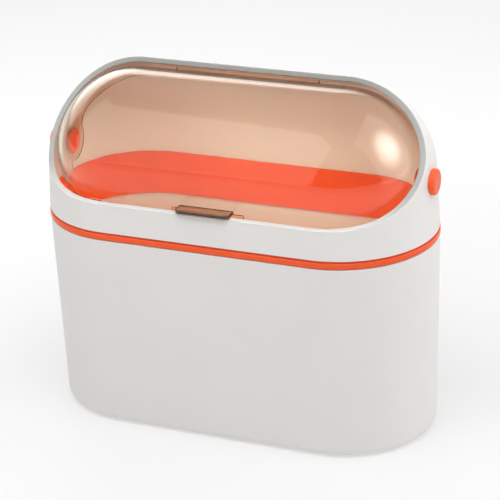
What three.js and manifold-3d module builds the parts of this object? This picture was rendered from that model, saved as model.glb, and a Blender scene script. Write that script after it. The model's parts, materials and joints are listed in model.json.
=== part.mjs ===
// A table-top bin for biohazard waste. A tapered bucket with round ends carries a bag ring, and a
// hood sits on the ring. A clear lid, round about the hood's pivot pins, rolls back under the hood.
// Millimetres. X runs along the bin, the front faces -Y, Z is up, and the origin is on the ground
// under the middle of the bin.
//
// Every large piece is a "stadium" in plan: two half circles joined by straight sides. Its size is
// therefore one radius, and HALF_STRAIGHT is the same for all of them.

import * as THREE from "three";
import { mergeVertices } from "three/addons/utils/BufferGeometryUtils.js";
import Module from "manifold-3d";

const wasm = await Module();
wasm.setup();

// ---- Driving dimensions ----

const HALF_STRAIGHT = 64; // from the middle of the bin to the centre of each round end
const GAP = 0.3; // between pieces that rest on each other

const FLOOR_Z = 0.6; // the bucket's underside, held up by its feet
const FLOOR_WALL = 2.4;
const BUCKET_BASE_R = 53.7; // end radius just above the bottom's rounding
const BUCKET_ROUNDING = 4.6;
const BUCKET_WALL = 2.2;
const BUCKET_TOP_Z = 120.3;
const JOIN_R = 56; // end radius where bucket and hood meet the ring

const FOOT_R = 6;
const FOOT_HEIGHT = 1.5;
const FOOT_X = 78;
const FOOT_Y = 26;

const RING_R = 56.2;
const RING_INNER_R = 50.4;
const RING_BEAD_TOP_Z = 125;
const RING_SKIRT_R = 53.1;
const RING_SKIRT_LOW_R = 52.5;
const RING_SKIRT_Z = 107;
const RING_COLLAR_R = 51.9;
const RING_TOP_Z = 135.7;

const HOOD_R = 54.4; // radius of the hood's dome about the pivot
const HOOD_WALL = 3.2;
const HOOD_BASE_Z = RING_BEAD_TOP_Z + GAP;
const PIVOT_Z = 157.2;

// The mouth's rim seen from the side: level at the low front and upright at the top of the dome.
const MOUTH_FRONT_Y = -64.8;
const MOUTH_FRONT_Z = 142.2;
const MOUTH_FRONT_PULL = 52; // how far the front keeps its direction
const MOUTH_TOP_Y = 15.5;
const MOUTH_TOP_Z = 214;
const MOUTH_TOP_PULL = 15;

const LID_R = 48.7;
const LID_WALL = 2.2;
const LID_FRONT_Z = 139; // the level front edge, in the hood's mouth
const LID_FLAP_Y = -7; // where the lid's ends reach down to that edge, ahead of the ears
const LID_REAR_ANGLE = 126; // degrees up from the horizontal at the front, and back
const LID_EAR_R = 13;
const LID_SEAT_R = 7.6; // flat seat inside each ear, for the retainer
const LID_SEAT_X = 110.5;
const LID_BOSS_R = 6; // round boss outside each ear, which keeps it clear of the hood
const LID_BOSS_X = 114.5;
const LID_RIB_HALF_LENGTH = 45; // stiffening rib along the top
const LID_RIB_HEIGHT = 1.6;
const LID_RIB_ANGLES = [109, 111.5];

const HANDLE_HALF_WIDTH = 16.8;
const HANDLE_CORNER_R = 4;
const HANDLE_FRONT_Y = -57.4;
const HANDLE_UNDER_Z = 143.8;
const HANDLE_TOP_Z = 145.6;
const HANDLE_BACK_Y = -44;
const PLATE_HALF_WIDTH = 22.3;
const PLATE_THICKNESS = 0.7;
const PLATE_ANGLES = [-21, -16.4];
const NECK_HALF_WIDTH = 15; // joins the plate to the tab behind the hood's rim
const NECK_ANGLES = [-17.5, -14.8];

const CAP_R = 7.7;
const CAP_OUTER_X = 121.3;
const CAP_EDGE = 0.7;
const SHAFT_R = 3;
const SHAFT_END_X = 109.4;
const BORE_R = SHAFT_R + GAP;
const RETAINER_R = 7.2;
const RETAINER_INNER_X = 108.6;
const RETAINER_OUTER_X = LID_SEAT_X - GAP;
const SOCKET_X = SHAFT_END_X - GAP;

// ---- Fineness. A stadium has 4n + 2 columns, so that none of them lies on the YZ plane. ----

const STADIUM_COLUMNS = 50;
const ROLL_COLUMNS = 56; // round the pivot axis
const ROUND_COLUMNS = 40;
const ARC_STEPS = 5;
const DOME_STEPS = 6;
const MOUTH_STEPS = 28;

// Longer than any piece, for tools that cut right through.
const BEYOND = 300;

// ---- Solids ----

const radians = THREE.MathUtils.degToRad;

// A closed geometry as a manifold-3d solid. Triangles that collapse on an axis are left out.
function solidOf(geometry) {
  const bare = new THREE.BufferGeometry();
  bare.setAttribute("position", geometry.getAttribute("position"));
  bare.setIndex(geometry.index);
  const merged = mergeVertices(bare, 1e-4);
  const corners = merged.index.array;
  const kept = [];
  for (let i = 0; i < corners.length; i += 3) {
    const [a, b, c] = [corners[i], corners[i + 1], corners[i + 2]];
    if (a !== b && b !== c && c !== a) {
      kept.push(a, b, c);
    }
  }
  const facing = volumeOf(merged.attributes.position, kept) < 0 ? kept.reverse() : kept;
  return new wasm.Manifold(
    new wasm.Mesh({
      numProp: 3,
      vertProperties: new Float32Array(merged.attributes.position.array),
      triVerts: new Uint32Array(facing),
    }),
  );
}

// Six times the signed volume, which is negative when the faces point inwards.
function volumeOf(position, corners) {
  const [a, b, c] = [new THREE.Vector3(), new THREE.Vector3(), new THREE.Vector3()];
  let sum = 0;
  for (let i = 0; i < corners.length; i += 3) {
    a.fromBufferAttribute(position, corners[i]);
    b.fromBufferAttribute(position, corners[i + 1]);
    c.fromBufferAttribute(position, corners[i + 2]);
    sum += a.dot(b.cross(c));
  }
  return sum;
}

function geometryOf(solid) {
  const made = solid.getMesh();
  const geometry = new THREE.BufferGeometry();
  geometry.setAttribute("position", new THREE.BufferAttribute(made.vertProperties, 3));
  geometry.setIndex(new THREE.BufferAttribute(made.triVerts, 1));
  geometry.computeVertexNormals();
  return geometry;
}

function pathOf(points) {
  const path = new THREE.Path();
  path.setFromPoints(points.map(([x, y]) => new THREE.Vector2(x, y)));
  return path;
}

// A profile of [end radius, z] swept round the stadium. It starts and ends on the axis or closes.
function stadium(profile) {
  const step = (2 * Math.PI) / STADIUM_COLUMNS;
  const geometry = new THREE.LatheGeometry(profile, STADIUM_COLUMNS, step / 2);
  const position = geometry.getAttribute("position");
  for (let i = 0; i < position.count; i += 1) {
    const column = Math.floor(i / profile.length);
    const side = Math.sign(Math.sin(step * (column + 0.5)));
    position.setX(i, position.getX(i) + side * HALF_STRAIGHT);
  }
  return solidOf(geometry.rotateX(Math.PI / 2));
}

// A profile of [radius, x] turned about the pivot axis.
function rolled(profile, columns = ROLL_COLUMNS) {
  const geometry = new THREE.LatheGeometry(profile, columns);
  geometry.rotateZ(-Math.PI / 2);
  return solidOf(geometry.translate(0, 0, PIVOT_Z));
}

// A disc, ring or shaft on the pivot axis, from x = low to x = high.
function disc(radius, low, high, edge = 0) {
  const profile = pathOf([
    [0, low],
    [radius, low],
    [radius, high - edge],
    [radius - edge, high],
    [0, high],
  ]);
  return rolled(profile.getPoints(), ROUND_COLUMNS);
}

// The full rolled body of radius r about the pivot axis: a cylinder with a ball at each end.
function capsule(r) {
  const path = new THREE.Path();
  path.absarc(0, -HALF_STRAIGHT, r, -Math.PI / 2, 0);
  path.absarc(0, HALF_STRAIGHT, r, 0, Math.PI / 2);
  return rolled(path.getPoints(DOME_STEPS));
}

// An outline of [y, z] made solid along X, from -half to +half, with arcSteps for each curve.
function alongX(shape, half, arcSteps) {
  const geometry = new THREE.ExtrudeGeometry(shape, {
    depth: 2 * half,
    bevelEnabled: false,
    curveSegments: arcSteps,
  });
  const x = new THREE.Vector3(1, 0, 0);
  const y = new THREE.Vector3(0, 1, 0);
  const z = new THREE.Vector3(0, 0, 1);
  geometry.applyMatrix4(new THREE.Matrix4().makeBasis(y, z, x));
  return solidOf(geometry.translate(-half, 0, 0));
}

// An angle at the pivot, counted in degrees from the front up and back, as one in the YZ plane.
function pivotAngle(degrees) {
  return Math.PI - radians(degrees);
}

// The slice of space between two pivot angles and two radii.
function slice(fromDegrees, toDegrees, innerR, outerR, half) {
  const from = pivotAngle(fromDegrees);
  const to = pivotAngle(toDegrees);
  const shape = new THREE.Shape();
  shape.absarc(0, PIVOT_Z, outerR, from, to, true);
  if (innerR > 0) {
    shape.absarc(0, PIVOT_Z, innerR, to, from, false);
  } else {
    shape.lineTo(0, PIVOT_Z);
  }
  shape.closePath();
  const share = (toDegrees - fromDegrees) / 360;
  return alongX(shape, half, Math.ceil((share * ROLL_COLUMNS) / 2));
}

// ---- Pieces ----

function bucketOutline(inset, floorZ, topZ) {
  const rounding = BUCKET_ROUNDING - inset;
  const baseR = BUCKET_BASE_R - inset;
  const path = new THREE.Path();
  path.moveTo(0, floorZ);
  path.lineTo(baseR - rounding, floorZ);
  path.absarc(baseR - rounding, floorZ + rounding, rounding, -Math.PI / 2, 0);
  path.lineTo(JOIN_R - inset, topZ);
  path.lineTo(0, topZ);
  return path.getPoints(ARC_STEPS);
}

function makeBucket() {
  const outside = stadium(bucketOutline(0, FLOOR_Z, BUCKET_TOP_Z));
  const inside = stadium(bucketOutline(BUCKET_WALL, FLOOR_Z + FLOOR_WALL, BUCKET_TOP_Z + BUCKET_WALL));
  let bucket = outside.subtract(inside);
  for (const [x, y] of footPlaces()) {
    const seat = new THREE.CylinderGeometry(FOOT_R + GAP, FOOT_R + GAP, 2 * FOOT_HEIGHT + 2 * GAP, ROUND_COLUMNS);
    bucket = bucket.subtract(solidOf(seat.rotateX(Math.PI / 2).translate(x, y, 0)));
  }
  return bucket;
}

function footPlaces() {
  return [
    [-FOOT_X, -FOOT_Y],
    [FOOT_X, -FOOT_Y],
    [-FOOT_X, FOOT_Y],
    [FOOT_X, FOOT_Y],
  ];
}

function makeFoot() {
  const edge = 0.4;
  const profile = pathOf([
    [0, 0],
    [FOOT_R - edge, 0],
    [FOOT_R, edge],
    [FOOT_R, FOOT_HEIGHT],
    [0, FOOT_HEIGHT],
  ]);
  const geometry = new THREE.LatheGeometry(profile.getPoints(), ROUND_COLUMNS);
  return solidOf(geometry.rotateX(Math.PI / 2));
}

// The bead shows between bucket and hood, the skirt clamps the bag and the collar locates the hood.
function makeRing() {
  const beadLowZ = BUCKET_TOP_Z + GAP;
  const edge = 1;
  const profile = pathOf([
    [RING_INNER_R, RING_SKIRT_Z],
    [RING_SKIRT_LOW_R, RING_SKIRT_Z],
    [RING_SKIRT_R, beadLowZ],
    [RING_R - edge, beadLowZ],
    [RING_R, beadLowZ + edge],
    [RING_R, RING_BEAD_TOP_Z - edge],
    [RING_R - edge, RING_BEAD_TOP_Z],
    [RING_COLLAR_R, RING_BEAD_TOP_Z],
    [RING_COLLAR_R, RING_TOP_Z],
    [RING_INNER_R, RING_TOP_Z],
    [RING_INNER_R, RING_SKIRT_Z],
  ]);
  return stadium(profile.getPoints());
}

function hoodOutline(domeR, baseR, baseZ) {
  const path = new THREE.Path();
  path.moveTo(0, baseZ);
  path.lineTo(baseR, baseZ);
  path.absarc(0, PIVOT_Z, domeR, 0, Math.PI / 2);
  return path.getPoints(DOME_STEPS);
}

function makeHood() {
  const outside = stadium(hoodOutline(HOOD_R, JOIN_R, HOOD_BASE_Z));
  const inside = stadium(hoodOutline(HOOD_R - HOOD_WALL, JOIN_R - HOOD_WALL, HOOD_BASE_Z - GAP));
  const mouth = new THREE.Shape();
  mouth.moveTo(MOUTH_FRONT_Y, MOUTH_FRONT_Z);
  mouth.bezierCurveTo(
    MOUTH_FRONT_Y + MOUTH_FRONT_PULL,
    MOUTH_FRONT_Z,
    MOUTH_TOP_Y,
    MOUTH_TOP_Z - MOUTH_TOP_PULL,
    MOUTH_TOP_Y,
    MOUTH_TOP_Z,
  );
  mouth.lineTo(MOUTH_FRONT_Y, MOUTH_TOP_Z);
  mouth.closePath();
  const hood = outside.subtract(inside).subtract(alongX(mouth, BEYOND / 2, MOUTH_STEPS));
  return hood.subtract(disc(BORE_R, -BEYOND / 2, BEYOND / 2));
}

// The two x values of a piece on the right end or, with side = -1, on the left one.
function ends(side, inner, outer) {
  return side > 0 ? [inner, outer] : [-outer, -inner];
}

// The space of the lid's lower front, from its level edge up past the pivot.
function lidFlap() {
  const frontY = -LID_R - LID_WALL;
  const topZ = PIVOT_Z + LID_WALL;
  const shape = new THREE.Shape();
  shape.moveTo(frontY, LID_FRONT_Z);
  shape.lineTo(LID_FLAP_Y, LID_FRONT_Z);
  shape.lineTo(LID_FLAP_Y, topZ);
  shape.lineTo(frontY, topZ);
  shape.closePath();
  return alongX(shape, BEYOND / 2, 1);
}

function makeLid() {
  const inside = capsule(LID_R - LID_WALL).add(disc(LID_SEAT_R, -LID_SEAT_X, LID_SEAT_X));
  let window = slice(0, LID_REAR_ANGLE, 0, LID_R + LID_WALL, BEYOND / 2).add(lidFlap());
  for (const side of [-1, 1]) {
    window = window.add(disc(LID_EAR_R, ...ends(side, HALF_STRAIGHT, BEYOND / 2)));
  }
  let lid = capsule(LID_R).subtract(inside).intersect(window);
  for (const side of [-1, 1]) {
    lid = lid.add(disc(LID_BOSS_R, ...ends(side, (LID_SEAT_X + LID_BOSS_X) / 2 - 1, LID_BOSS_X)));
  }
  const rib = slice(...LID_RIB_ANGLES, LID_R - LID_WALL / 2, LID_R + LID_RIB_HEIGHT, LID_RIB_HALF_LENGTH);
  lid = lid.add(rib);
  return lid.subtract(disc(BORE_R, -BEYOND / 2, BEYOND / 2));
}

// A finger tab over the hood's front rim, with a thin plate behind it that is bonded to the lid.
function makeHandle() {
  const front = HANDLE_FRONT_Y;
  const r = HANDLE_CORNER_R;
  const w = HANDLE_HALF_WIDTH;
  const outline = new THREE.Shape();
  outline.moveTo(-w, HANDLE_BACK_Y);
  outline.absarc(-w + r, front + r, r, Math.PI, 1.5 * Math.PI, false);
  outline.absarc(w - r, front + r, r, 1.5 * Math.PI, 2 * Math.PI, false);
  outline.lineTo(w, HANDLE_BACK_Y);
  outline.closePath();
  const geometry = new THREE.ExtrudeGeometry(outline, {
    depth: HANDLE_TOP_Z - HANDLE_UNDER_Z,
    bevelEnabled: false,
    curveSegments: DOME_STEPS,
  });
  const tab = solidOf(geometry.translate(0, 0, HANDLE_UNDER_Z));
  const bondR = LID_R + GAP;
  const plate = slice(...PLATE_ANGLES, bondR - GAP, bondR + PLATE_THICKNESS, PLATE_HALF_WIDTH);
  const neck = slice(...NECK_ANGLES, bondR - GAP, bondR + PLATE_THICKNESS, NECK_HALF_WIDTH);
  return tab.add(plate).add(neck).subtract(capsule(bondR));
}

// A round cap outside the hood, hollowed to its dome, with a shaft that carries the lid's ear.
function makePin() {
  const hood = stadium(hoodOutline(HOOD_R + GAP, JOIN_R + GAP, HOOD_BASE_Z));
  const cap = disc(CAP_R, HALF_STRAIGHT, CAP_OUTER_X, CAP_EDGE).subtract(hood);
  return cap.add(disc(SHAFT_R, SHAFT_END_X, CAP_OUTER_X - CAP_EDGE));
}

// A round clip that is pressed on the shaft's end inside the lid.
function makeRetainer() {
  const body = disc(RETAINER_R, RETAINER_INNER_X, RETAINER_OUTER_X);
  return body.subtract(disc(BORE_R, SOCKET_X, BEYOND));
}

// ---- Materials ----

const whitePlastic = new THREE.MeshStandardMaterial({ color: 0xe6e3df, roughness: 0.5 });
const orangePlastic = new THREE.MeshStandardMaterial({ color: 0xf8663f, roughness: 0.4 });
const amberClear = new THREE.MeshStandardMaterial({
  color: 0xd9a06f,
  roughness: 0.08,
  transparent: true,
  opacity: 0.4,
});
const brownClear = new THREE.MeshStandardMaterial({
  color: 0x7d5a45,
  roughness: 0.15,
  transparent: true,
  opacity: 0.8,
});
const greyRubber = new THREE.MeshStandardMaterial({ color: 0x8d8b88, roughness: 0.9 });

// ---- Assembly: the bin, the ring on it, the hood on the ring and the lid in the hood ----

function named(name, solid, material) {
  const mesh = new THREE.Mesh(geometryOf(solid), material.clone());
  mesh.name = name;
  return mesh;
}

// A pivot piece is made for the right end, and turned half round for the left one.
function pivotPair(name, make) {
  const right = named(name + "_right", make(), orangePlastic);
  const left = named(name + "_left", make(), orangePlastic);
  left.rotation.z = Math.PI;
  return [right, left];
}

function makeBase() {
  const base = new THREE.Group();
  base.add(named("bucket", makeBucket(), whitePlastic));
  const names = ["foot_front_left", "foot_front_right", "foot_rear_left", "foot_rear_right"];
  footPlaces().forEach(([x, y], i) => {
    const foot = named(names[i], makeFoot(), greyRubber);
    foot.position.set(x, y, 0);
    base.add(foot);
  });
  return base;
}

function makeHoodGroup() {
  const group = new THREE.Group();
  group.add(named("hood", makeHood(), whitePlastic));
  group.add(...pivotPair("pivot_pin", makePin));
  group.add(...pivotPair("pivot_retainer", makeRetainer));
  const lid = new THREE.Group();
  lid.add(named("lid", makeLid(), amberClear));
  lid.add(named("lid_handle", makeHandle(), brownClear));
  group.add(lid);
  return group;
}

const bin = new THREE.Group();
bin.add(makeBase());
bin.add(named("bag_ring", makeRing(), orangePlastic));
bin.add(makeHoodGroup());

export default bin;
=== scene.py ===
"""Looks for the table-top waste bin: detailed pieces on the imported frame, materials, light and camera.

Shapes are worked out in millimetres, and piece() turns them into metres. Angles about the lid's
pivot are counted from the front horizontal, up and back, as in the CAD.
"""

import json
import math

import bmesh
import bpy
from mathutils import Matrix, Vector


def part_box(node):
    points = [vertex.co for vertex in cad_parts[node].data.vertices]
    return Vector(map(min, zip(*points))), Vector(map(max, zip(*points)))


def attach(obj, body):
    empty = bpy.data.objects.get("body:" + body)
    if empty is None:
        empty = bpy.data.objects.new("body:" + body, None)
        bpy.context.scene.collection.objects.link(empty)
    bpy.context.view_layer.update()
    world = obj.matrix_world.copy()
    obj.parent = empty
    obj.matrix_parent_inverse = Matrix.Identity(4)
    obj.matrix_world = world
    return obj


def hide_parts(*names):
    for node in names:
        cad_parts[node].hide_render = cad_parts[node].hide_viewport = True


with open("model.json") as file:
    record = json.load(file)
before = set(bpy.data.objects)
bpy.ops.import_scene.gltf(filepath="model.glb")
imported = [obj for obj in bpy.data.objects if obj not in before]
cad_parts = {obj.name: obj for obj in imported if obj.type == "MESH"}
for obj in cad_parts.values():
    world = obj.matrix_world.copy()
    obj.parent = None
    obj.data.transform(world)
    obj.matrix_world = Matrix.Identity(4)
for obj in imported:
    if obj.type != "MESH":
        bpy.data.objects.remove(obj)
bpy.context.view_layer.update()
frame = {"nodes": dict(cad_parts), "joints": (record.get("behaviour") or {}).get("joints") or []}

MM = 0.001
UP = Vector((0, 0, 1))


def node_top(name):
    """The highest corner of a CAD node, in millimetres."""
    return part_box(name)[1] / MM


# ---- Sizes from the frame ----

RING_R = node_top("bag_ring").y
HALF_STRAIGHT = node_top("bag_ring").x - RING_R
JOIN_R = node_top("bucket").y
BUCKET_TOP_Z = node_top("bucket").z
FLOOR_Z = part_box("bucket")[0].z / MM
FOOT_TOP_Z = node_top("foot_front_left").z
HOOD_BASE_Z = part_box("hood")[0].z / MM
CAP_OUTER_X = node_top("pivot_pin_right").x
LID_HINGE = next(joint for joint in frame["joints"] if joint["name"] == "lid_hinge")
PIVOT_Z = LID_HINGE["pos_m"][2] / MM

# ---- Sizes of the shapes inside those boxes, in millimetres and degrees ----

# R is the radius of a round end or of a turned shape, and X, Y and Z are places.

END_STEPS = 72  # columns round each end of a stadium
SIDE_STEPS = 24  # and along each straight side

BUCKET_BASE_R = 53.7
BUCKET_ROUNDING = 4.6
BUCKET_WALL = 2.2
FLOOR_WALL = 2.4
BUCKET_LIP = 0.5
BUCKET_ROW = 9  # longest step up the bucket's wall

RING_BEAD_LOW_Z = 120.6
RING_GROOVE_LOW_Z = 124.1
RING_BEAD_TOP_Z = 125
RING_GROOVE_R = 55.1
RING_INNER_R = 50.4
RING_SKIRT_R = 53.1
RING_SKIRT_LOW_R = 52.5
RING_SKIRT_Z = 107
RING_COLLAR_R = 51.9
RING_TOP_Z = 135.7
RING_ROW = 4  # longest step round the ring's section

HOOD_R = 54.3
HOOD_WALL = 3.2
HOOD_ROWS = 44
HOOD_FOOT_ROUNDING = 0.3
RIM_ROUNDING = 0.55
# The rim's colour is painted shade, deepening to grey with height up the cut face.
RIM_SHADE_START_Z = 143  # the rim is white below this
RIM_SHADE_FULL_Z = 156  # and grey above this
MOUTH_FRONT = (-64.8, 142.2)  # the mouth's cut is a curve of (y, z), level at the front
MOUTH_FRONT_PULL = 52  # how far each end of the curve keeps its direction
MOUTH_TOP = (15.5, 214)  # and upright at the top
MOUTH_TOP_PULL = 15

LID_R = 48.7
LID_WALL = 2.2
LID_FRONT_Z = 139
LID_REAR_ANGLE = 126
LID_EDGE = 0.35  # rounding of its cut edge
LID_BORE_R = 3.75  # round the pin's shaft
LID_BOSS_R = 6
LID_BOSS_X = 114.4
LID_SEAT_R = 7.6
LID_SEAT_X = 110.5
LID_EAR_R = 13
LID_EAR_JOIN_R = 23
LID_EAR_FILLET = 34  # degrees round the pivot from the lid's rear edge to the round ear
LID_FLAP_TURN = 63  # degrees below the horizontal where the flap ahead of the ear ends
LID_FLAP_FILLET = 6
LID_RIB_ANGLES = (109, 111.5)
LID_RIB_HALF_LENGTH = 45
LID_RIB_HEIGHT = 1.5
LID_DOME_STEPS = 26  # rings on each round end, between the ear's and the straight middle
LID_EAR_STEPS = 9  # rings between the seat and the ear's outermost ring
LID_TURN_STEPS = 84  # columns from the front edge over to the rear edge
LID_SIDE_STEPS = 20
LID_EDGE_STEPS = 4

HANDLE_HALF_WIDTH = 16.75
HANDLE_CORNER_R = 4
HANDLE_FRONT_Y = -57.35
HANDLE_UNDER_Z = 143.8
HANDLE_TOP_Z = 145.6
BOND_GAP = 0.3  # between the lid and what is bonded to it
PLATE_HALF_WIDTH = 22.3
PLATE_THICKNESS = 0.7
PLATE_ANGLES = (-21, -16.4)
NECK_HALF_WIDTH = 15
NECK_ANGLES = (-17.5, -14.8)

CAP_R = 7.65
CAP_GAP = 0.12  # between the cap and the hood
CAP_BEVEL = 0.25
CAP_ROUNDING = 1.5
CAP_CROWN = 0.02  # how far the cap's face rises towards its middle
SHAFT_R = 3
SHAFT_BEVEL = 0.3
SHAFT_END_X = 109.4
BORE_R = 3.3  # in the hood
RETAINER_R = 7.2
RETAINER_INNER_X = 108.6
RETAINER_OUTER_X = 110.2
RETAINER_FACE_R = 5.5  # a ring of points on its flat face, inside its rounded edge
RETAINER_DIMPLE_R = 1
RETAINER_DIMPLE_DEPTH = 0.3

FOOT_R = 6
FOOT_SEAT_R = 6.3
FOOT_SEAT_TOP_Z = 1.8
FOOT_DISH_R = 2.4  # a shallow dish in the sole
FOOT_DISH_DEPTH = 0.25

HALVINGS = 24  # steps to find a point on a curve
SHARP_ANGLE = math.radians(42)  # edges sharper than this stay crisp

# ---- Lines ----


def rounded(corners, steps=5, closed=True):
    """A line through corners of (across, up, rounding), each rounded corner made an arc."""
    line = []
    for i, (across, up, rounding) in enumerate(corners):
        here = Vector((across, up))
        at_end = not closed and i in (0, len(corners) - 1)
        if rounding == 0 or at_end:
            line.append(here)
            continue
        before = (Vector(corners[i - 1][:2]) - here).normalized()
        after = (Vector(corners[(i + 1) % len(corners)][:2]) - here).normalized()
        half = before.angle(after) / 2
        centre = here + (before + after).normalized() * rounding / math.sin(half)
        reach = rounding / math.tan(half)
        start = here + before * reach - centre
        end = here + after * reach - centre
        first = math.atan2(start.y, start.x)
        turn = math.remainder(math.atan2(end.y, end.x) - first, math.tau)
        for k in range(steps + 1):
            angle = first + turn * k / steps
            line.append(centre + rounding * Vector((math.cos(angle), math.sin(angle))))
    return line


def with_rows(line, longest):
    """The line with more points on its long stretches."""
    filled = [line[0]]
    for before, after in zip(line, line[1:]):
        count = max(1, math.ceil((after - before).length / longest))
        filled += [before.lerp(after, k / count) for k in range(1, count + 1)]
    return filled


def bezier(points, t):
    """The point at share t along a cubic curve."""
    a, b, c, d = [Vector(p) for p in points]
    s = 1 - t
    return a * s**3 + b * (3 * s * s * t) + c * (3 * s * t * t) + d * t**3


# ---- Meshes ----


def piece(name, vertices, faces, shown_material, body, nodes, slot):
    """A smooth mesh of millimetre vertices that rides on a body and stands for CAD nodes."""
    mesh = bpy.data.meshes.new(name)
    mesh.from_pydata([Vector(v) * MM for v in vertices], [], faces)
    made = bmesh.new()
    made.from_mesh(mesh)
    bmesh.ops.remove_doubles(made, verts=made.verts, dist=0.002 * MM)
    bmesh.ops.dissolve_degenerate(made, edges=made.edges, dist=0.001 * MM)
    bmesh.ops.recalc_face_normals(made, faces=made.faces)
    made.to_mesh(mesh)
    made.free()
    mesh.shade_smooth()
    mesh.set_sharp_from_angle(angle=SHARP_ANGLE)
    mesh.materials.append(shown_material)
    obj = bpy.data.objects.new(name, mesh)
    bpy.context.scene.collection.objects.link(obj)
    if body:
        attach(obj, body)
        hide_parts(*nodes)
    return obj


def weighted_normals(obj):
    """Keeps flat faces flat beside small roundings."""
    modifier = obj.modifiers.new("weighted_normals", "WEIGHTED_NORMAL")
    modifier.keep_sharp = True


def grid_faces(columns, rows, wrap_columns=True, wrap_rows=True):
    """Quads over a grid whose vertices are listed column by column."""
    faces = []
    for i in range(columns if wrap_columns else columns - 1):
        for j in range(rows if wrap_rows else rows - 1):
            right = (i + 1) % columns
            above = (j + 1) % rows
            quad = (i * rows + j, right * rows + j, right * rows + above, i * rows + above)
            faces.append(quad)
    return faces


def stadium_columns():
    """Each upright slice of a stadium: the x of its centre, and its outward direction."""
    columns = []
    for end in (1, -1):
        for i in range(END_STEPS + 1):
            angle = math.pi * (i / END_STEPS - 0.5)
            columns.append((end * HALF_STRAIGHT, end * math.cos(angle), end * math.sin(angle)))
        for i in range(1, SIDE_STEPS):
            x = end * HALF_STRAIGHT * (1 - 2 * i / SIDE_STEPS)
            columns.append((x, 0.0, float(end)))
    return columns


def swept(profile_at, closed=True):
    """Vertices and faces of a profile of (end radius, z) carried round the stadium."""
    columns = stadium_columns()
    vertices = []
    for centre_x, out_x, out_y in columns:
        profile = profile_at(out_y)
        for r, z in profile:
            vertices.append((centre_x + r * out_x, r * out_y, z))
    rows = len(vertices) // len(columns)
    return vertices, grid_faces(len(columns), rows, wrap_rows=closed)


def turned(profile, steps=72, place=(0, 0, 0), along_x=0, closed=False):
    """Vertices and faces of a profile of (radius, height) turned about Z, or about X at the pivot."""
    vertices = []
    for i in range(steps):
        angle = math.tau * i / steps
        for r, height in profile:
            across = Vector((r * math.cos(angle), r * math.sin(angle), height))
            if along_x:
                across = Vector((along_x * height, along_x * across.x, PIVOT_Z + across.y))
            vertices.append(across + Vector(place))
    return vertices, grid_faces(steps, len(profile), wrap_rows=closed)


def cut_away(obj, tools):
    """Cuts each tool out of obj, then removes it."""
    for tool in tools:
        modifier = obj.modifiers.new("cut", "BOOLEAN")
        modifier.object = tool
        modifier.operation = "DIFFERENCE"
        modifier.solver = "EXACT"
    bpy.context.view_layer.update()
    graph = bpy.context.evaluated_depsgraph_get()
    cut = bpy.data.meshes.new_from_object(obj.evaluated_get(graph))
    obj.modifiers.clear()
    obj.data = cut
    cut.set_sharp_from_angle(angle=SHARP_ANGLE)
    for tool in tools:
        bpy.data.objects.remove(tool)


def cutter(profile, **where):
    """A turned solid that rides on nothing, for cut_away() to use up."""
    vertices, faces = turned(profile, steps=48, **where)
    return piece("cutter", vertices, faces, None, None, (), None)


# ---- Materials ----

# Noise scales, in cells per metre.
FLOW_SCALE = 22
GLOSS_SCALE = 60
GRAIN_SCALE = 1800
CLEAR_GLOSS_SCALE = 35
CLEAR_FLOW_SCALE = 30

GRAIN_DEPTH = 0.02 * MM
# Painted shade on the mouth's cut face, higher up.
RIM_PAINTED_SHADE = (0.44, 0.45, 0.435)
SLANT_START = 0.7  # how slantwise clear plastic is seen where its tint starts to deepen
SLANT_END = 0.98
NOISE_MIDDLE = (0.3, 0.7)  # where most of the noise's values lie


def new_material(name, roughness, **sockets):
    """A material with one Principled shader, and its node tree."""
    material = bpy.data.materials.new(name)
    material.use_nodes = True
    tree = material.node_tree
    shader = tree.nodes["Principled BSDF"]
    shader.inputs["Roughness"].default_value = roughness
    for socket, value in sockets.items():
        shader.inputs[socket.replace("_", " ")].default_value = value
    return material, tree, shader


def noise(tree, scale, detail=3.0):
    """Noise over the object's own coordinates, with scale in cells per metre."""
    place = tree.nodes.new("ShaderNodeTexCoord")
    texture = tree.nodes.new("ShaderNodeTexNoise")
    texture.inputs["Scale"].default_value = scale
    texture.inputs["Detail"].default_value = detail
    tree.links.new(place.outputs["Object"], texture.inputs["Vector"])
    return texture.outputs["Fac"]


def carried(tree, value, source, target, curve="SMOOTHSTEP"):
    """Value's source range carried to the target range, and held at its ends outside that."""
    node = tree.nodes.new("ShaderNodeMapRange")
    node.interpolation_type = curve
    node.inputs["From Min"].default_value = source[0]
    node.inputs["From Max"].default_value = source[1]
    node.inputs["To Min"].default_value = target[0]
    node.inputs["To Max"].default_value = target[1]
    tree.links.new(value, node.inputs["Value"])
    return node.outputs["Result"]


def vector_math(tree, operation, value, other=None):
    """The vector value put through one operation, with other as its second vector."""
    node = tree.nodes.new("ShaderNodeVectorMath")
    node.operation = operation
    tree.links.new(value, node.inputs[0])
    if other:
        node.inputs[1].default_value = other
    return node.outputs["Value" if operation == "LENGTH" else "Vector"]


def uneven_gloss(tree, shader, scale, roughness):
    """Roughness that wanders between two values."""
    wandering = carried(tree, noise(tree, scale), NOISE_MIDDLE, roughness, "LINEAR")
    tree.links.new(wandering, shader.inputs["Roughness"])


def colour_mix(tree, share, second):
    """A mix node that turns its colour A into the second colour as share rises."""
    mix = tree.nodes.new("ShaderNodeMix")
    mix.data_type = "RGBA"
    mix.inputs["B"].default_value = (*second, 1)
    tree.links.new(share, mix.inputs["Factor"])
    return mix


def tinted(tree, value, first, second):
    """A colour between two, by value."""
    ramp = tree.nodes.new("ShaderNodeValToRGB")
    ramp.color_ramp.elements[0].position = 0.35
    ramp.color_ramp.elements[1].position = 0.65
    ramp.color_ramp.elements[0].color = (*first, 1)
    ramp.color_ramp.elements[1].color = (*second, 1)
    tree.links.new(value, ramp.inputs["Fac"])
    return ramp.outputs["Color"]


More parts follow.
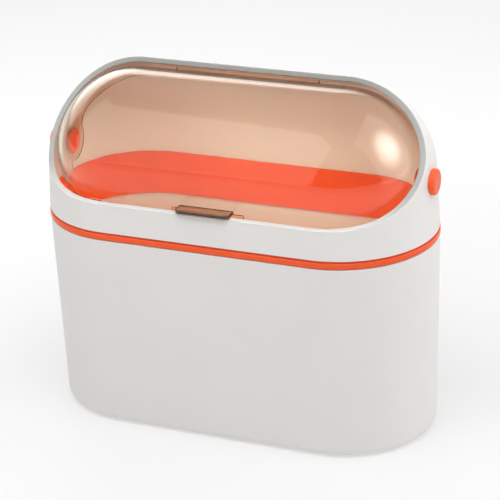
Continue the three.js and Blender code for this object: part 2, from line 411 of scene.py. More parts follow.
def grain(tree, shader, scale, depth, strength):
    """Noise as bump, with its depth in metres: a moulded grain or, at a low scale, soft ripples."""
    bump = tree.nodes.new("ShaderNodeBump")
    bump.inputs["Distance"].default_value = depth
    bump.inputs["Strength"].default_value = strength
    tree.links.new(noise(tree, scale, 4), bump.inputs["Height"])
    tree.links.new(bump.outputs["Normal"], shader.inputs["Normal"])


def moulded_plastic(name, first, second, roughness, shine=0.35):
    """Satin plastic: soft flow marks in its colour and gloss, and a fine grain."""
    material, tree, shader = new_material(name, roughness[0], IOR=1.5, Specular_IOR_Level=shine)
    colour = tinted(tree, noise(tree, FLOW_SCALE), first, second)
    tree.links.new(colour, shader.inputs["Base Color"])
    uneven_gloss(tree, shader, GLOSS_SCALE, roughness)
    grain(tree, shader, GRAIN_SCALE, GRAIN_DEPTH, 0.35)
    return material


def rim_painted_shade_plastic():
    """The white plastic with shade painted on the mouth's cut edge: lightly shaded at the sill, greyer
    higher up.
    """
    sill_light_shade = (0.66, 0.65, 0.635), (0.68, 0.67, 0.655)
    material = moulded_plastic("white_plastic_rim_painted_shade", *sill_light_shade, (0.5, 0.6))
    tree = material.node_tree
    shader = tree.nodes["Principled BSDF"]
    white = shader.inputs["Base Color"].links[0].from_socket
    place = tree.nodes.new("ShaderNodeTexCoord")
    parts = tree.nodes.new("ShaderNodeSeparateXYZ")
    tree.links.new(place.outputs["Object"], parts.inputs["Vector"])
    # Painted shade: the cut face turns grey with height.
    rise = carried(tree, parts.outputs["Z"], (RIM_SHADE_START_Z * MM, RIM_SHADE_FULL_Z * MM), (0, 1))
    mix = colour_mix(tree, rise, RIM_PAINTED_SHADE)
    tree.links.new(white, mix.inputs["A"])
    tree.links.new(mix.outputs["Result"], shader.inputs["Base Color"])
    return material


def clear_plastic(name, colour, edge, shadow, roughness, flow_depth):
    """Tinted clear plastic that lets the lamps' light through, deeper in tint where seen slantwise."""
    material, tree, shader = new_material(name, roughness[0], IOR=1.46, Transmission_Weight=1.0)
    slant = tree.nodes.new("ShaderNodeLayerWeight")
    slant.inputs["Blend"].default_value = 0.5
    deepening = carried(tree, slant.outputs["Facing"], (SLANT_START, SLANT_END), (0, 1))
    tint = colour_mix(tree, deepening, edge)
    tint.inputs["A"].default_value = (*colour, 1)
    tree.links.new(tint.outputs["Result"], shader.inputs["Base Color"])
    uneven_gloss(tree, shader, CLEAR_GLOSS_SCALE, roughness)
    grain(tree, shader, CLEAR_FLOW_SCALE, flow_depth, 0.5)
    clear = tree.nodes.new("ShaderNodeBsdfTransparent")
    clear.inputs["Color"].default_value = (*shadow, 1)
    path = tree.nodes.new("ShaderNodeLightPath")
    mix = tree.nodes.new("ShaderNodeMixShader")
    tree.links.new(path.outputs["Is Shadow Ray"], mix.inputs["Fac"])
    tree.links.new(shader.outputs["BSDF"], mix.inputs[1])
    tree.links.new(clear.outputs["BSDF"], mix.inputs[2])
    tree.links.new(mix.outputs["Shader"], tree.nodes["Material Output"].inputs["Surface"])
    return material


ORANGE_PAIR = (0.98, 0.125, 0.038), (1.0, 0.138, 0.044)
# A darker orange: painted shade in the ring's groove under the hood's edge.
GROOVE_SHADE_PAIR = (0.9, 0.115, 0.042), (0.93, 0.125, 0.046)

WHITE = moulded_plastic("white_plastic", (0.86, 0.835, 0.815), (0.875, 0.85, 0.83), (0.42, 0.5))
SHADED_RIM = rim_painted_shade_plastic()
ORANGE = moulded_plastic("orange_plastic", *ORANGE_PAIR, (0.22, 0.3), shine=0.1)

# Each clear plastic has its tint face on, its tint seen slantwise, and the tint of the light it passes.
AMBER_TINTS = (0.96, 0.815, 0.64), (0.5, 0.32, 0.2), (0.98, 0.903, 0.8)
BROWN_TINTS = (0.78, 0.66, 0.57), (0.3, 0.2, 0.14), (0.8, 0.72, 0.66)
PLATE_TINTS = (0.95, 0.74, 0.58), (0.8, 0.25, 0.1), (0.96, 0.84, 0.72)
AMBER = clear_plastic("amber_clear", *AMBER_TINTS, (0.015, 0.04), 0.03 * MM)
BROWN = clear_plastic("brown_clear", *BROWN_TINTS, (0.03, 0.06), 0.01 * MM)
PLATE = clear_plastic("plate_clear", *PLATE_TINTS, (0.02, 0.04), 0.01 * MM)

GROOVE_SHADE = moulded_plastic("orange_groove_painted_shade", *GROOVE_SHADE_PAIR, (0.5, 0.6), shine=0.1)
TAB_EDGE = moulded_plastic("brown_edge", (0.07, 0.035, 0.02), (0.09, 0.045, 0.028), (0.15, 0.22))
RUBBER = moulded_plastic("grey_rubber", (0.25, 0.24, 0.23), (0.28, 0.27, 0.26), (0.75, 0.9))


# ---- The base ----


def make_bucket():
    """The tapered shell, with a seat for each foot cut into its underside."""
    wall = BUCKET_WALL
    corners = [
        (0, FLOOR_Z, 0),
        (BUCKET_BASE_R, FLOOR_Z, BUCKET_ROUNDING),
        (JOIN_R, BUCKET_TOP_Z, BUCKET_LIP),
        (JOIN_R - wall, BUCKET_TOP_Z, BUCKET_LIP),
        (BUCKET_BASE_R - wall, FLOOR_Z + FLOOR_WALL, BUCKET_ROUNDING - wall),
        (0, FLOOR_Z + FLOOR_WALL, 0),
    ]
    profile = with_rows(rounded(corners, closed=False), BUCKET_ROW)
    vertices, faces = swept(lambda out_y: profile, closed=False)
    bucket = piece("bucket_shell", vertices, faces, WHITE, "base", ("bucket",), "white_plastic")
    below = -1
    seat = [
        Vector((0, below)),
        Vector((FOOT_SEAT_R, below)),
        Vector((FOOT_SEAT_R, FOOT_SEAT_TOP_Z)),
        Vector((0, FOOT_SEAT_TOP_Z)),
    ]
    cut_away(bucket, [cutter(seat, place=(x, y, 0)) for x, y in foot_places().values()])
    weighted_normals(bucket)


def foot_places():
    """The middle of each CAD foot."""
    places = {}
    for name in frame["nodes"]:
        if name.startswith("foot_"):
            low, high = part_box(name)
            middle = (low + high) / (2 * MM)
            places[name] = (middle.x, middle.y)
    return places


def make_feet():
    """Soft round pads, each with a shallow dish in the middle of its sole."""
    corners = [
        (0, FOOT_DISH_DEPTH, 0),
        (FOOT_DISH_R, FOOT_DISH_DEPTH, 0.1),
        (FOOT_DISH_R + 0.5, 0, 0.15),
        (FOOT_R, 0, 0.5),
        (FOOT_R, FOOT_TOP_Z, 0.15),
        (0, FOOT_TOP_Z, 0),
    ]
    profile = rounded(corners, steps=3, closed=False)
    for name, (x, y) in foot_places().items():
        vertices, faces = turned(profile, steps=48, place=(x, y, 0))
        piece(name + "_pad", vertices, faces, RUBBER, "base", (name,), "grey_rubber")


# ---- The bag ring ----


def make_ring():
    """The skirt in the bucket, the bead that shows outside, the groove over it, and the collar, with the
    groove painted a darker orange as shade.
    """
    corners = [
        (RING_INNER_R, RING_SKIRT_Z, 0.4),
        (RING_SKIRT_LOW_R, RING_SKIRT_Z, 0.5),
        (RING_SKIRT_R, RING_BEAD_LOW_Z, 0.3),
        (RING_R, RING_BEAD_LOW_Z, 0.7),
        (RING_R, RING_GROOVE_LOW_Z, 0.6),
        (RING_GROOVE_R, RING_GROOVE_LOW_Z, 0.15),
        (RING_GROOVE_R, RING_BEAD_TOP_Z, 0.15),
        (RING_COLLAR_R, RING_BEAD_TOP_Z, 0.3),
        (RING_COLLAR_R, RING_TOP_Z, 0.5),
        (RING_INNER_R, RING_TOP_Z, 0.5),
    ]
    profile = with_rows(rounded(corners, steps=4), RING_ROW)
    vertices, faces = swept(lambda out_y: profile)
    ring = piece("bag_ring_body", vertices, faces, ORANGE, "ring", ("bag_ring",), "orange_plastic")
    # The groove's faces get the darker orange, painted shade under the hood.
    ring.data.materials.append(GROOVE_SHADE)
    groove_low = RING_GROOVE_LOW_Z - 0.15
    groove_high = RING_BEAD_TOP_Z + 0.1
    for face in ring.data.polygons:
        if groove_low < face.center.z / MM < groove_high:
            face.material_index = 1
    weighted_normals(ring)


# ---- The hood ----


def last_share(holds):
    """The share from 0 to 1 up to which holds(share) is true, found by halving."""
    low, high = 0.0, 1.0
    for _ in range(HALVINGS):
        middle = (low + high) / 2
        if holds(middle):
            low = middle
        else:
            high = middle
    return low


def mouth_depth(z):
    """The y of the mouth's cut at a height, or None below the mouth."""
    if z <= MOUTH_FRONT[1]:
        return None
    controls = [
        MOUTH_FRONT,
        (MOUTH_FRONT[0] + MOUTH_FRONT_PULL, MOUTH_FRONT[1]),
        (MOUTH_TOP[0], MOUTH_TOP[1] - MOUTH_TOP_PULL),
        MOUTH_TOP,
    ]
    return bezier(controls, last_share(lambda share: bezier(controls, share).y < z)).x


def hood_point(dome_r, base_r, s):
    """(end radius, z) at share s of the way up the hood: first the skirt, then the dome."""
    skirt = PIVOT_Z - HOOD_BASE_Z
    arc = dome_r * math.pi / 2
    along = s * (skirt + arc)
    if along < skirt:
        return Vector((base_r + (dome_r - base_r) * along / skirt, HOOD_BASE_Z + along))
    angle = (along - skirt) / dome_r
    return Vector((dome_r * math.cos(angle), PIVOT_Z + dome_r * math.sin(angle)))


def hood_edge(dome_r, base_r, out_y):
    """The share of the way up at which the mouth ends this slice of the hood."""

    def behind_mouth(share):
        r, z = hood_point(dome_r, base_r, share)
        depth = mouth_depth(z)
        return depth is None or r * out_y > depth

    return last_share(behind_mouth)


def foot_rounding(into_wall):
    """Three steps that round the hood's lowest corner, from its face to its underside."""
    reach = HOOD_FOOT_ROUNDING
    return [Vector((0, reach)), Vector((into_wall * 0.1, 0.09)), Vector((into_wall * reach, 0))]


def hood_profile(out_y):
    """One closed slice of the hood's shell, up the outside, over the rim and down the inside."""
    sides = []
    for inset in (0, HOOD_WALL):
        radii = (HOOD_R - inset, JOIN_R - inset)
        edge = hood_edge(*radii, out_y)
        sides.append([hood_point(*radii, edge * k / HOOD_ROWS) for k in range(HOOD_ROWS + 1)])
    outside, inside = sides
    rim_middle = (outside[-1] + inside[-1]) / 2
    loop = [inside[0] + step for step in foot_rounding(1)]
    loop += [outside[0] + step for step in reversed(foot_rounding(-1))]
    loop += outside[1:-1]
    loop += soft_corner(outside[-2], outside[-1], rim_middle)
    loop += [rim_middle]
    loop += soft_corner(rim_middle, inside[-1], inside[-2])
    loop += inside[-2:0:-1]
    return loop


def soft_corner(before, corner, after):
    """Five points that round a corner of the rim."""
    start = corner + (before - corner).normalized() * RIM_ROUNDING
    end = corner + (after - corner).normalized() * RIM_ROUNDING
    points = []
    for k in range(5):
        t = k / 4
        points.append(start * (1 - t) ** 2 + corner * (2 * t * (1 - t)) + end * t * t)
    return points


def paint_rim_shade(hood):
    """Gives the cut face of the mouth a second material with painted shade, greyer higher up."""
    hood.data.materials.append(SHADED_RIM)
    rim_reach = RIM_ROUNDING * 0.6
    for face in hood.data.polygons:
        centre = face.center / MM
        depth = mouth_depth(centre.z)
        if depth is not None and abs(centre.y - depth) < rim_reach:
            face.material_index = 1


def make_hood():
    """The shell with its swept mouth, bored through at both pivots."""
    vertices, faces = swept(hood_profile)
    hood = piece("hood_shell", vertices, faces, WHITE, "hood", ("hood",), "white_plastic")
    paint_rim_shade(hood)
    near, far = 100, 130  # along X, on either side of the hood's wall
    bore = [Vector((0, near)), Vector((BORE_R, near)), Vector((BORE_R, far)), Vector((0, far))]
    cut_away(hood, [cutter(bore, along_x=side) for side in (1, -1)])
    weighted_normals(hood)


def hood_surface_x(across_y, z):
    """The x of the hood's outside on the right end."""
    if z < PIVOT_Z:
        share = (PIVOT_Z - z) / (PIVOT_Z - HOOD_BASE_Z)
        r = HOOD_R + (JOIN_R - HOOD_R) * share
    else:
        r = math.sqrt(HOOD_R**2 - (z - PIVOT_Z) ** 2)
    return HALF_STRAIGHT + math.sqrt(r * r - across_y * across_y)


# ---- The pivot pins ----


def make_pin(side, name):
    """A cap whose underside follows the hood, and its shaft through the hood and the lid."""
    steps = 72
    vertices = []
    for i in range(steps):
        angle = math.tau * i / steps
        y = CAP_R * math.cos(angle)
        up = CAP_R * math.sin(angle)
        seat_x = hood_surface_x(y, PIVOT_Z + up) + CAP_GAP
        shaft_end = [
            Vector((0, SHAFT_END_X)),
            Vector((SHAFT_R - SHAFT_BEVEL, SHAFT_END_X)),
            Vector((SHAFT_R, SHAFT_END_X + SHAFT_BEVEL)),
        ]
        corners = [
            (SHAFT_R, HALF_STRAIGHT + HOOD_R - 0.2, 0),
            (CAP_R - CAP_BEVEL, seat_x, 0),
            (CAP_R, seat_x + CAP_BEVEL, 0),
            (CAP_R, CAP_OUTER_X, CAP_ROUNDING),
            (CAP_R - 2.2, CAP_OUTER_X - CAP_CROWN, 0),
            (0, CAP_OUTER_X, 0),
        ]
        profile = shaft_end + rounded(corners, steps=5, closed=False)
        for r, x in profile:
            vertices.append((side * x, side * r * math.cos(angle), PIVOT_Z + r * math.sin(angle)))
    faces = grid_faces(steps, len(profile), wrap_rows=False)
    nodes = ("pivot_pin_" + name,)
    piece("pivot_cap_" + name, vertices, faces, ORANGE, "hood", nodes, "orange_plastic")


def make_retainer(side, name):
    """A round clip on the shaft's end, with a dimple in its middle."""
    dimple_x = RETAINER_INNER_X + RETAINER_DIMPLE_DEPTH
    corners = [
        (0, dimple_x, 0),
        (RETAINER_DIMPLE_R - 0.2, dimple_x, 0.1),
        (RETAINER_DIMPLE_R, RETAINER_INNER_X, 0.1),
        (RETAINER_FACE_R, RETAINER_INNER_X, 0),
        (RETAINER_R, RETAINER_INNER_X, 0.45),
        (RETAINER_R, RETAINER_OUTER_X, 0.2),
        (SHAFT_R + 0.1, RETAINER_OUTER_X, 0),
        (SHAFT_R + 0.1, SHAFT_END_X - 0.05, 0),
        (0, SHAFT_END_X - 0.05, 0),
    ]
    profile = rounded(corners, steps=4, closed=False)
    vertices, faces = turned(profile, along_x=side)
    nodes = ("pivot_retainer_" + name,)
    piece("retainer_clip_" + name, vertices, faces, ORANGE, "hood", nodes, "orange_plastic")


# ---- The lid ----


def lid_point(side, polar, turn, outside):
    """A point of the lid's end, at polar degrees from the pivot axis and turn degrees round it."""
    r = LID_R if outside else LID_R - LID_WALL
    away = r * math.sin(math.radians(polar))
    x = HALF_STRAIGHT + r * math.cos(math.radians(polar))
    if outside and away < LID_BOSS_R + 0.01:
        x = LID_BOSS_X
    if not outside and away < LID_SEAT_R + 0.01:
        x = LID_SEAT_X
    angle = math.radians(turn)
    return Vector((side * x, -away * math.cos(angle), PIVOT_Z + away * math.sin(angle)))


def lid_side_point(x, turn, outside):
    """A point of the lid's straight middle, turn degrees round the pivot axis."""
    r = LID_R if outside else LID_R - LID_WALL
    angle = math.radians(turn)
    return Vector((x, -r * math.cos(angle), PIVOT_Z + r * math.sin(angle)))


def polar_of(radius, shell_r):
    """Degrees from the pivot axis to a ring of that radius on a round end."""
    return math.degrees(math.asin(radius / shell_r))


def stepped(start, stop, count):
    """The values after start, in even steps, up to stop."""
    return [start + (stop - start) * k / count for k in range(1, count + 1)]


def ear_lines():
    """Polar angles of the fixed rings round each pivot, for boss and seat, and of the ear's others."""
    bore = polar_of(LID_BORE_R, LID_R)
    boss = polar_of(LID_BOSS_R, LID_R)
    seat = polar_of(LID_SEAT_R, LID_R - LID_WALL)
    fixed = [bore, (bore + boss) / 2, boss, boss + 0.3, (boss + seat) / 2, seat, seat + 0.4]
    return fixed, stepped(fixed[-1], polar_of(LID_EAR_JOIN_R, LID_R), LID_EAR_STEPS)


def blended_edge(start_r, away, fillet):
    """The polar angle of the lid's edge as it falls from start_r to the round ear, away degrees on."""
    share = min(1.0, away / fillet)
    r = LID_EAR_R + (start_r - LID_EAR_R) * (1 - math.sqrt(1 - (1 - share) ** 2))
    return polar_of(r, LID_R)


def flap_reach(turn):
    """How far from the pivot the level front edge lies, turn degrees below the horizontal."""
    return (PIVOT_Z - LID_FRONT_Z) / math.sin(math.radians(turn))


def lid_edge(turn):
    """The polar angle of the lid's edge, turn degrees below the front horizontal, to the rear edge."""
    if turn <= LID_FLAP_TURN:
        return polar_of(min(LID_R, flap_reach(turn)), LID_R)
    rear = max(0.0, 360 - LID_REAR_ANGLE - turn)
    front_edge = blended_edge(flap_reach(LID_FLAP_TURN), turn - LID_FLAP_TURN, LID_FLAP_FILLET)
    return max(front_edge, blended_edge(LID_EAR_JOIN_R, rear, LID_EAR_FILLET))


def lid_sheet():
    """The lid as one sheet: pairs of outer and inner points, and the quads of the sheet."""
    fixed, flexible = ear_lines()
    upper = stepped(flexible[-1], 90, LID_DOME_STEPS)
    dome = fixed + flexible + upper
    front_turn = math.degrees(math.asin((PIVOT_Z - LID_FRONT_Z) / LID_R))
    turns = [-front_turn] + stepped(-front_turn, LID_REAR_ANGLE, LID_TURN_STEPS)
    straight = [HALF_STRAIGHT * (1 - 2 * k / LID_SIDE_STEPS) for k in range(1, LID_SIDE_STEPS)]
    pairs, faces = [], []

    def add_grid(columns):
        """Adds columns of pairs, each as long as the first, and the quads between them."""
        first = len(pairs)
        for column in columns:
            pairs.extend(column)
        rows = len(columns[0])
        for quad in grid_faces(len(columns), rows, wrap_columns=False, wrap_rows=False):
            faces.append(tuple(first + corner for corner in quad))

    def lid_pair(side, polar, turn):
        return [lid_point(side, polar, turn, outside) for outside in (True, False)]

    columns = []
    for turn in turns:
        column = [lid_pair(1, polar, turn) for polar in dome]
        column += [[lid_side_point(x, turn, outside) for outside in (True, False)] for x in straight]
        column += [lid_pair(-1, polar, turn) for polar in reversed(dome)]
        columns.append(column)
    add_grid(columns)

    turns_below = [front_turn]
    rear_turn = 360 - LID_REAR_ANGLE
    stretches = [
        (LID_FLAP_TURN, 32),
        (LID_FLAP_TURN + LID_FLAP_FILLET, 12),
        (rear_turn - LID_EAR_FILLET, 48),
        (rear_turn, 36),
    ]
    for stop, count in stretches:
        turns_below += stepped(turns_below[-1], stop, count)
    for side in (1, -1):
        columns = []
        for turn in turns_below:
            polars = end_polars(fixed, flexible, upper, lid_edge(turn))
            columns.append([lid_pair(side, polar, -turn) for polar in polars])
        add_grid(columns)
    return pairs, faces


def end_polars(fixed, flexible, upper, edge):
    """The rings of one slice through the lid's end, none of them past the lid's edge."""
    join = flexible[-1]
    share = (min(edge, join) - fixed[-1]) / (join - fixed[-1])
    lower = [fixed[-1] + (polar - fixed[-1]) * share for polar in flexible]
    return fixed + lower + [min(polar, edge) for polar in upper]


def joined(pairs, faces):
    """The sheet with points at one place made one point."""
    index, kept, corner_of = {}, [], []
    for outer, inner in pairs:
        key = tuple(round(value, 3) for value in outer)
        if key not in index:
            index[key] = len(kept)
            kept.append((outer, inner))
        corner_of.append(index[key])
    whole = []
    for quad in faces:
        corners = list(dict.fromkeys(corner_of[corner] for corner in quad))
        if len(corners) > 2:
            whole.append(tuple(corners))
    return kept, whole


def edge_directions(pairs, faces):
    """For each point on the sheet's edge, the direction out of the sheet, and the edge's quads."""
    users = {}
    for quad in faces:
        for a, b in zip(quad, quad[1:] + quad[:1]):
            users.setdefault(frozenset((a, b)), []).append((a, b, quad))
    border = [uses[0] for uses in users.values() if len(uses) == 1]
    directions = {}
    for a, b, quad in border:
        along = (pairs[b][0] - pairs[a][0]).normalized()
        middle = sum((pairs[corner][0] for corner in quad), Vector()) / len(quad)
        for corner in (a, b):
            outward = along.cross((pairs[corner][0] - pairs[corner][1]).normalized())
            if outward.dot(pairs[corner][0] - middle) < 0:
                outward.negate()
            directions[corner] = directions.get(corner, Vector()) + outward
    return {corner: total.normalized() for corner, total in directions.items()}, border


def make_lid():
    """The sheet as a shell: its outer and inner faces, joined by a rounded edge."""
    pairs, faces = joined(*lid_sheet())
    count = len(pairs)
    vertices = [outer for outer, inner in pairs] + [inner for outer, inner in pairs]
    all_faces = list(faces) + [tuple(count + corner for corner in reversed(quad)) for quad in faces]
    directions, border = edge_directions(pairs, faces)
    strands = {}
    for corner, outward in directions.items():
        outer, inner = pairs[corner]
        down = (inner - outer).normalized()
        strand = [corner]
        for surface, inward in ((outer, down), (inner, -down)):
            arc = []
            for k in range(1, LID_EDGE_STEPS + 1):
                angle = math.pi / 2 * k / LID_EDGE_STEPS
                bulge = outward * math.sin(angle) + inward * (1 - math.cos(angle))
                arc.append(surface + bulge * LID_EDGE)
            for point in arc if surface is outer else reversed(arc):
                strand.append(len(vertices))
                vertices.append(point)
        strand.append(count + corner)
        strands[corner] = strand
    for a, b, quad in border:
        for k in range(len(strands[a]) - 1):
            all_faces.append((strands[b][k], strands[a][k], strands[a][k + 1], strands[b][k + 1]))
    piece("clear_lid", vertices, all_faces, AMBER, "lid", ("lid",), "amber_clear")


def make_lid_rib():
    """A low rounded bar along the top of the lid, a little smaller at its tips."""
    low = LID_R + 0.02  # just clear of the lid
    high = LID_R + LID_RIB_HEIGHT
    half_turn = (LID_RIB_ANGLES[1] - LID_RIB_ANGLES[0]) / 2
    middle = sum(LID_RIB_ANGLES) / 2
    half_width = low * math.radians(half_turn)
    corners = [
        (-half_width, low, 0.05),
        (half_width, low, 0.05),
        (half_width, high, 0.4),
        (-half_width, high, 0.4),
    ]
    section = rounded(corners, steps=4)
    tip = [(0, 0.78), (0.14, 0.93), (0.4, 1)]  # how far in from an end, and the section's size there
    stations = [(-1, *place) for place in tip] + [(1, *place) for place in reversed(tip)]
    vertices = []
    for end, inset, size in stations:
        x = end * (LID_RIB_HALF_LENGTH - inset)
        for across, r in section:
            angle = math.radians(middle) + across * size / low
            reach = low + (r - low) * size
            vertices.append((x, -reach * math.cos(angle), PIVOT_Z + reach * math.sin(angle)))
    rows = len(section)
    faces = grid_faces(len(stations), rows, wrap_columns=False)
    faces.append(tuple(range(rows)))
    faces.append(tuple(range(len(vertices) - 1, len(vertices) - rows - 1, -1)))
    piece("lid_rib", vertices, faces, AMBER, "lid", ("lid",), "amber_clear")


# ---- The handle ----


def prism(outline, low, high, place):
    """A closed solid: an outline carried from low to high, with place(across, along, height)."""
    vertices = []
    for height in (low, high):
        vertices += [place(across, along, height) for across, along in outline]
    count = len(outline)
    faces = [tuple(reversed(range(count))), tuple(range(count, 2 * count))]
    for i in range(count):
        after = (i + 1) % count
        faces.append((i, after, count + after, count + i))
    return vertices, faces


def curved_slab(angles, inner_r, outer_r, half_width):
    """A slab bent round the pivot axis, between two angles and two radii."""
    steps = 6
    turns = [math.radians(angles[0] + (angles[1] - angles[0]) * k / steps) for k in range(steps + 1)]
    outline = [(outer_r, turn) for turn in turns] + [(inner_r, turn) for turn in reversed(turns)]

    def place(r, turn, x):
        return (x, -r * math.cos(turn), PIVOT_Z + r * math.sin(turn))

    return prism(outline, -half_width, half_width, place)


def soft_edges(obj, width, edge_material=None):
    """Rounds the sharp edges of a piece, by a width in millimetres."""
    if edge_material:
        obj.data.materials.append(edge_material)
    bevel = obj.modifiers.new("soft_edges", "BEVEL")
    bevel.width = width * MM
    bevel.segments = 3
    bevel.limit_method = "ANGLE"
    bevel.angle_limit = math.radians(40)
    if edge_material:
        bevel.material = len(obj.data.materials) - 1
    weighted_normals(obj)


def make_handle():
    """A finger tab, and the thin clear plate and neck that bond it to the lid."""
    w = HANDLE_HALF_WIDTH
    bond_r = LID_R + BOND_GAP
    back_y = -math.sqrt(bond_r**2 - (PIVOT_Z - HANDLE_TOP_Z) ** 2) - 0.02
    corners = [
        (-w, back_y, 0),
        (-w, HANDLE_FRONT_Y, HANDLE_CORNER_R),
        (w, HANDLE_FRONT_Y, HANDLE_CORNER_R),
        (w, back_y, 0),
    ]
    outline = [(p.x, p.y) for p in rounded(corners, steps=10)]
    tab = prism(outline, HANDLE_UNDER_Z, HANDLE_TOP_Z, lambda x, y, z: (x, y, z))
    soft_edges(piece("finger_tab", *tab, BROWN, "lid", ("lid_handle",), "brown_clear"), 0.4, TAB_EDGE)
    plate = curved_slab(PLATE_ANGLES, bond_r, bond_r + PLATE_THICKNESS, PLATE_HALF_WIDTH)
    neck = curved_slab(NECK_ANGLES, bond_r, bond_r + PLATE_THICKNESS, NECK_HALF_WIDTH)
    whole = union([plate, neck])
    soft_edges(piece("tab_plate", *whole, PLATE, "lid", ("lid_handle",), "brown_clear"), 0.12)


def union(parts):
    """Vertices and faces of several solids made one."""
    solids = [piece("union_part", *part, None, None, (), None) for part in parts]
    first = solids[0]
    for other in solids[1:]:
        modifier = first.modifiers.new("join", "BOOLEAN")
        modifier.object = other
        modifier.operation = "UNION"
        modifier.solver = "EXACT"
    bpy.context.view_layer.update()
    whole = bpy.data.meshes.new_from_object(first.evaluated_get(bpy.context.evaluated_depsgraph_get()))
    vertices = [v.co / MM for v in whole.vertices]
    faces = [tuple(p.vertices) for p in whole.polygons]
    for solid in solids:
        bpy.data.objects.remove(solid)
    return vertices, faces


# ---- Stage, light and camera, in metres ----

CAMERA_DISTANCE = 1.1706
CAMERA_TARGET = Vector((0.0045, 0, 0.10004))
CAMERA_TURN = math.radians(23.96)  # towards +X from the front
CAMERA_HEIGHT = math.radians(23.73)  # above the horizon
CAMERA_ROLL = math.radians(-2.53)
CAMERA_LENS = 141.9
SENSOR = 36


def add_camera():
    """A long lens from the front right, a little above, with the horizon slightly off level."""
    level = math.cos(CAMERA_HEIGHT)
    x = math.sin(CAMERA_TURN) * level
    y = -math.cos(CAMERA_TURN) * level
    away = Vector((x, y, math.sin(CAMERA_HEIGHT)))
    right = UP.cross(away).normalized()
    upward = away.cross(right)
    level_right = right * math.cos(CAMERA_ROLL) + upward * math.sin(CAMERA_ROLL)
    level_up = upward * math.cos(CAMERA_ROLL) - right * math.sin(CAMERA_ROLL)
    data = bpy.data.cameras.new("camera")
    data.lens = CAMERA_LENS
    data.sensor_width = SENSOR
    camera = bpy.data.objects.new("camera", data)
    place = Matrix((level_right, level_up, away)).transposed().to_4x4()
    place.translation = CAMERA_TARGET + away * CAMERA_DISTANCE
    camera.matrix_world = place
    bpy.context.scene.collection.objects.link(camera)
    bpy.context.scene.camera = camera


MATT, GLOSS = "matt", "gloss"
ROOM_GLOW = 0.12
BACKDROP_GLOW = 0.62
BACKDROP_RISE = (-0.1, 0.6)  # how far a direction points back, where the one turns into the other
FLOOR_HALF_WIDTH = 6000  # millimetres
FLOOR_CELLS = 12
FLOOR_GLOW = (0.42, 0.55)  # near the object, and away from it
FLOOR_GLOW_REACH = (0.12, 0.5)  # metres from the object's middle


def add_softbox(name, kind, place, target, width, height, glow, core=0.0, core_size=0.3):
    """A rectangular lamp of an even glow, with a brighter core that fades out to core_size."""
    data = bpy.data.lights.new(name, "AREA")
    data.shape = "RECTANGLE"
    data.size = width
    data.size_y = height
    data.energy = math.pi * width * height
    data.use_nodes = True
    tree = data.node_tree
    spot = tree.nodes.new("ShaderNodeNewGeometry")
    from_middle = vector_math(tree, "SUBTRACT", spot.outputs["Parametric"], (0.5, 0.5, 0))
    in_metres = vector_math(tree, "MULTIPLY", from_middle, (width, height, 0))
    distance = vector_math(tree, "LENGTH", in_metres)
    strength = carried(tree, distance, (0, core_size), (glow + core, glow), "SMOOTHERSTEP")
    tree.links.new(strength, tree.nodes["Emission"].inputs["Strength"])
    light = bpy.data.objects.new(name, data)
    light.location = place
    light.rotation_euler = (Vector(place) - Vector(target)).to_track_quat("Z", "Y").to_euler()
    light.visible_camera = False
    light.visible_diffuse = kind == MATT
    light.visible_glossy = kind == GLOSS
    light.visible_transmission = kind == GLOSS
    bpy.context.scene.collection.objects.link(light)


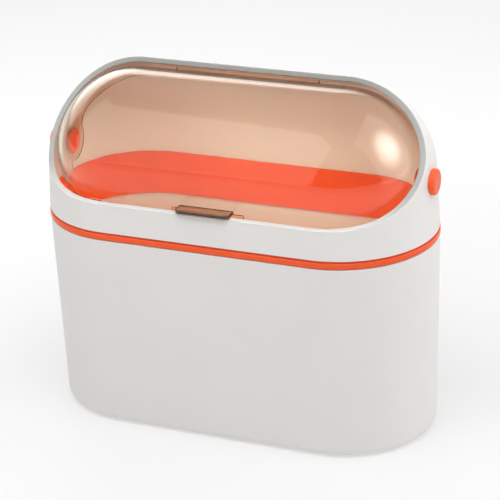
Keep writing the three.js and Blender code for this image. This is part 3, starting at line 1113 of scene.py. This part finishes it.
def add_lights():
    """Matt lamps light the object, and gloss cards are the bright shapes its shine shows.

    The lamp inside stands for the light that comes in through the thin white walls.
    """
    middle = (0, 0, 0.15)
    add_softbox("overhead", MATT, (0.05, -0.36, 1.27), middle, 1.2, 0.9, 4.6)
    add_softbox("side_left", MATT, (-0.85, -0.65, 0.85), middle, 1.5, 1.7, 0.18)
    add_softbox("side_right", MATT, (1.12, 0.21, 0.72), middle, 1.4, 1.7, 0.54)
    add_softbox("inside", MATT, (0, -0.03, 0.168), (0, 0.015, 0.03), 0.15, 0.035, 4.9)
    add_softbox("card_left", GLOSS, (-0.85, -0.82, 0.85), middle, 1.75, 1.75, 0.9)
    add_softbox("card_right", GLOSS, (1.12, 0.21, 0.77), (0.09, 0, 0.18), 1.5, 1.9, 0.9, 8.5, 0.7)
    add_softbox("card_back", GLOSS, (-0.75, 0.85, 0.5), middle, 1.9, 0.55, 0.9, 0.8, 0.9)


def add_world():
    """A pale backdrop behind the object, and a darker room in front of it."""
    world = bpy.data.worlds.new("studio")
    bpy.context.scene.world = world
    world.use_nodes = True
    tree = world.node_tree
    background = tree.nodes["Background"]
    background.inputs["Color"].default_value = (1, 1, 1, 1)
    direction = tree.nodes.new("ShaderNodeTexCoord")
    parts = tree.nodes.new("ShaderNodeSeparateXYZ")
    tree.links.new(direction.outputs["Generated"], parts.inputs["Vector"])
    strength = carried(tree, parts.outputs["Y"], BACKDROP_RISE, (ROOM_GLOW, BACKDROP_GLOW))
    tree.links.new(strength, background.inputs["Strength"])


def add_floor():
    """A pale floor that glows a little, more so away from the object, so that it reads as white."""
    material, tree, shader = new_material("pale_floor", 0.6)
    colour = tinted(tree, noise(tree, 3), (0.42, 0.42, 0.42), (0.43, 0.43, 0.43))
    tree.links.new(colour, shader.inputs["Base Color"])
    shader.inputs["Emission Color"].default_value = (1, 1, 1, 1)
    place = tree.nodes.new("ShaderNodeTexCoord")
    distance = vector_math(tree, "LENGTH", place.outputs["Object"])
    glow = carried(tree, distance, FLOOR_GLOW_REACH, FLOOR_GLOW)
    tree.links.new(glow, shader.inputs["Emission Strength"])
    lines = [FLOOR_HALF_WIDTH * (2 * i / FLOOR_CELLS - 1) for i in range(FLOOR_CELLS + 1)]
    vertices = [(x, y, 0) for x in lines for y in lines]
    faces = grid_faces(len(lines), len(lines), wrap_columns=False, wrap_rows=False)
    piece("floor", vertices, faces, material, None, (), None)


make_bucket()
make_feet()
make_ring()
make_hood()
for side_sign, side_name in ((1, "right"), (-1, "left")):
    make_pin(side_sign, side_name)
    make_retainer(side_sign, side_name)
make_lid()
make_lid_rib()
make_handle()
add_floor()
add_world()
add_lights()
add_camera()
bpy.context.scene.view_settings.view_transform = "Standard"
